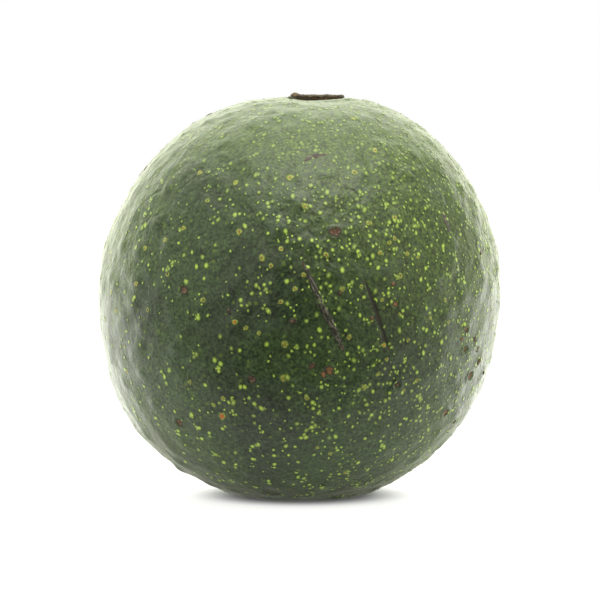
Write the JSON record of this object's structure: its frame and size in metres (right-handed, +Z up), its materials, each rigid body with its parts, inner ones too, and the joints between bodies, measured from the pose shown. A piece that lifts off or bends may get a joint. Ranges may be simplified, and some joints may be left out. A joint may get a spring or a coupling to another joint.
{
  "type": "avocado",
  "caption": "Whole round green avocado standing upright, with pebbled speckled skin, small scars, and the dry woody button of its stem set in the crown.",
  "frame": {"origin": "the middle of the small flat spot that the fruit rests on, under the middle of its box", "axes": "+Z up from blossom end to stem end, -Y towards the fruit's front with the long scar, +X to the right seen from the front"},
  "size_m": [0.0952, 0.0954, 0.0955],
  "materials": {
    "skin": "semi-gloss, thick waxy rind with yellow-green speckles",
    "stem": "matt, dry and weathered"
  },
  "bodies": {
    "root": {"fruit": "skin", "stem_button": "stem"}
  },
  "joints": []
}
